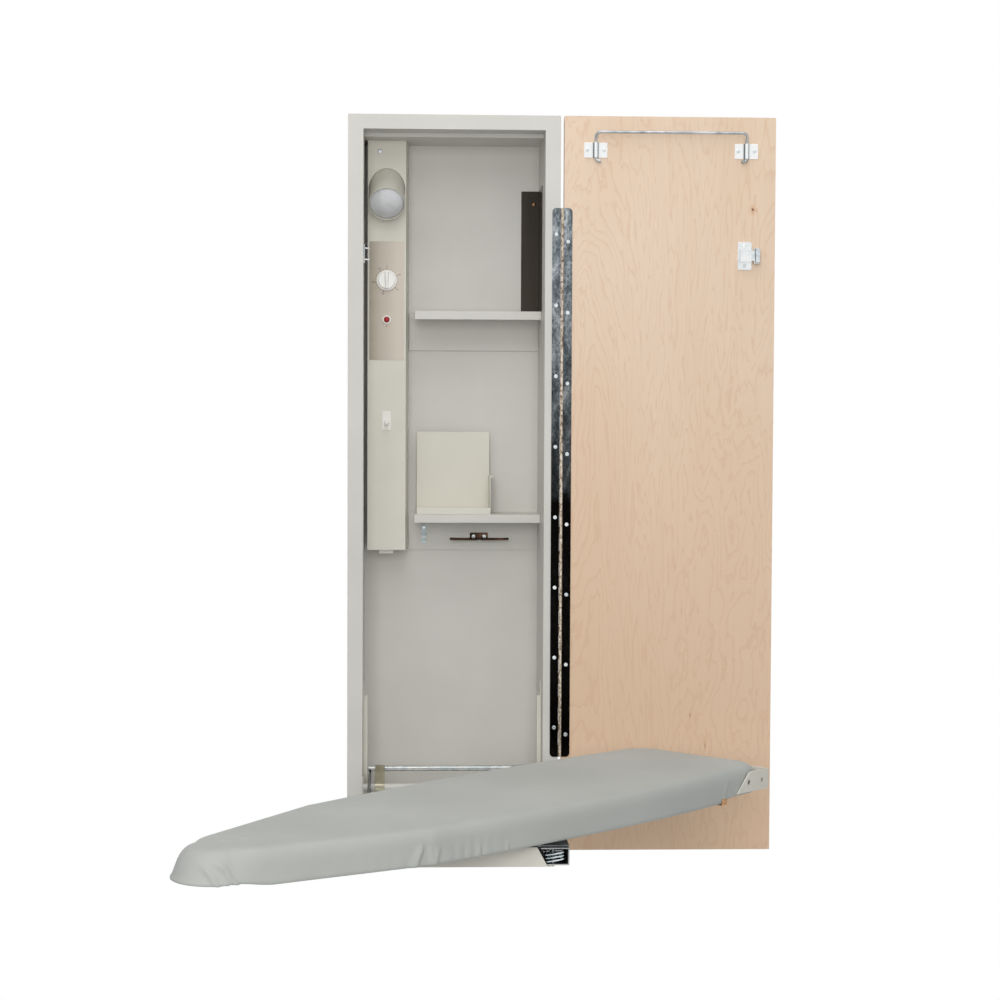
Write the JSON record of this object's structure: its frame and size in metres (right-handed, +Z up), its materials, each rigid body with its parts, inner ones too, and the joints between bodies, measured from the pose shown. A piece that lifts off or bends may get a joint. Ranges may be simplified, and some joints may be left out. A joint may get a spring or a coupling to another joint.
{
  "type": "ironing board cabinet",
  "caption": "Wall cabinet with a mirrored door on a piano hinge, a fold-down swivelling ironing board, shelves, a lamp and a timer panel.",
  "frame": {"origin": "centre of the cabinet's back face, where it bears on the wall", "axes": "+X to the right as seen from the room, +Y into the wall, +Z up"},
  "size_m": [0.9839, 1.2182, 1.325],
  "materials": {
    "painted_shell": "warm light grey enamel, satin",
    "painted_cream": "cream enamel, satin",
    "zinc_plate": "bright zinc plate",
    "chrome_wire": "nickel plate, bright",
    "dark_steel": "black enamel, semi-gloss",
    "plain_steel": "bare steel",
    "strap_steel": "yellow passivated zinc",
    "galvanised": "galvanised, mottled and reflective",
    "shield_steel": "dark polished sheet",
    "white_plastic": "glossy off-white",
    "clip_plastic": "translucent white nylon",
    "case_plastic": "dark moulding",
    "red_lens": "clear red lens",
    "dial_foil": "printed beige plate",
    "porcelain": "glazed white",
    "bulb_glass": "frosted face over a silvered bowl",
    "maple": "clear-coated maple veneer",
    "mirror": "silvered plate glass",
    "felt": "pressed felt pad",
    "cotton": "grey woven cover"
  },
  "bodies": {
    "cabinet": {"surround": "painted_shell", "cabinet_body": "painted_shell", "side_brackets": "painted_cream", "cross_rod": "zinc_plate", "pivot_shaft": "plain_steel", "tie_straps": "strap_steel", "upper_shelf": "painted_shell", "upper_back_rail": "painted_shell", "lower_shelf": "painted_shell", "lower_back_rail": "painted_shell", "heat_shield": "shield_steel", "shield_rivet": "zinc_plate", "pocket": "painted_cream", "cord_hook": "zinc_plate", "cord_clip": "clip_plastic", "fitting_screws": "zinc_plate", "channel_cover": "painted_cream", "channel_back": "painted_cream", "lamp_housing": "painted_cream", "lamp_socket": "porcelain", "reflector_bulb": "bulb_glass", "dial_plate": "dial_foil", "timer_body": "case_plastic", "pilot_bezel": "white_plastic", "pilot_lens": "red_lens", "switch_plate": "white_plastic", "switch_body": "case_plastic", "outlet": "white_plastic", "inner_wiring": "case_plastic", "catch_strike": "zinc_plate", "strike_screws": "zinc_plate", "hinge_leaf_cabinet": "galvanised", "hinge_pin": "galvanised", "hinge_screws_cabinet": "zinc_plate"},
    "door": {"door_panel": "maple", "mirror_glass": "mirror", "hinge_leaf_door": "galvanised", "hinge_screws_door": "zinc_plate", "garment_rail": "chrome_wire", "rail_brackets": "zinc_plate", "door_screws": "zinc_plate", "catch_body": "zinc_plate"},
    "catch_fork": {"catch_slide": "zinc_plate"},
    "catch_wheel": {"catch_roller": "zinc_plate"},
    "knob": {"timer_knob": "white_plastic", "timer_shaft": "zinc_plate"},
    "plunger": {"switch_plunger": "white_plastic"},
    "arm": {"arm_rails": "dark_steel", "pivot_ears": "dark_steel", "cross_plate": "painted_cream", "deck_plate": "plain_steel", "counter_springs": "zinc_plate", "spring_hooks": "plain_steel"},
    "board": {"swivel_bolt": "zinc_plate", "swivel_top": "plain_steel", "board_pan": "plain_steel", "board_pad": "felt", "board_cover": "cotton", "heel_bracket": "painted_cream", "cover_clip": "zinc_plate"}
  },
  "joints": [
    {"name": "door_hinge", "type": "hinge", "parent": "cabinet", "child": "door", "pos_m": [0.1936, -0.2014, 0], "axis": [0, 0, -1], "range_deg": [0, 25]},
    {"name": "board_fold", "type": "hinge", "parent": "cabinet", "child": "arm", "pos_m": [0, -0.192, -0.5475], "axis": [-1, 0, 0], "range_deg": [0, 25]},
    {"name": "board_swivel", "type": "hinge", "parent": "arm", "child": "board", "pos_m": [0, -0.813, -0.519], "axis": [0, 0, 1], "range_deg": [-45, 135]},
    {"name": "timer_turn", "type": "hinge", "parent": "cabinet", "child": "knob", "pos_m": [-0.12175, -0.084, 0.373], "axis": [0, 1, 0], "range_deg": [0, 330]},
    {"name": "switch_press", "type": "slide", "parent": "cabinet", "child": "plunger", "axis": [0, 1, 0], "range_m": [0, 0.005], "stiffness_N_per_m": 300, "springref_m": -0.002},
    {"name": "catch_press", "type": "slide", "parent": "door", "child": "catch_fork", "axis": [-1, 0, 0], "range_m": [0, 0.004], "stiffness_N_per_m": 1500, "springref_m": -0.002},
    {"name": "catch_roll", "type": "hinge", "parent": "catch_fork", "child": "catch_wheel", "pos_m": [0.5452, -0.2073, 0.4145], "axis": [0, 0, 1], "continuous": true}
  ]
}
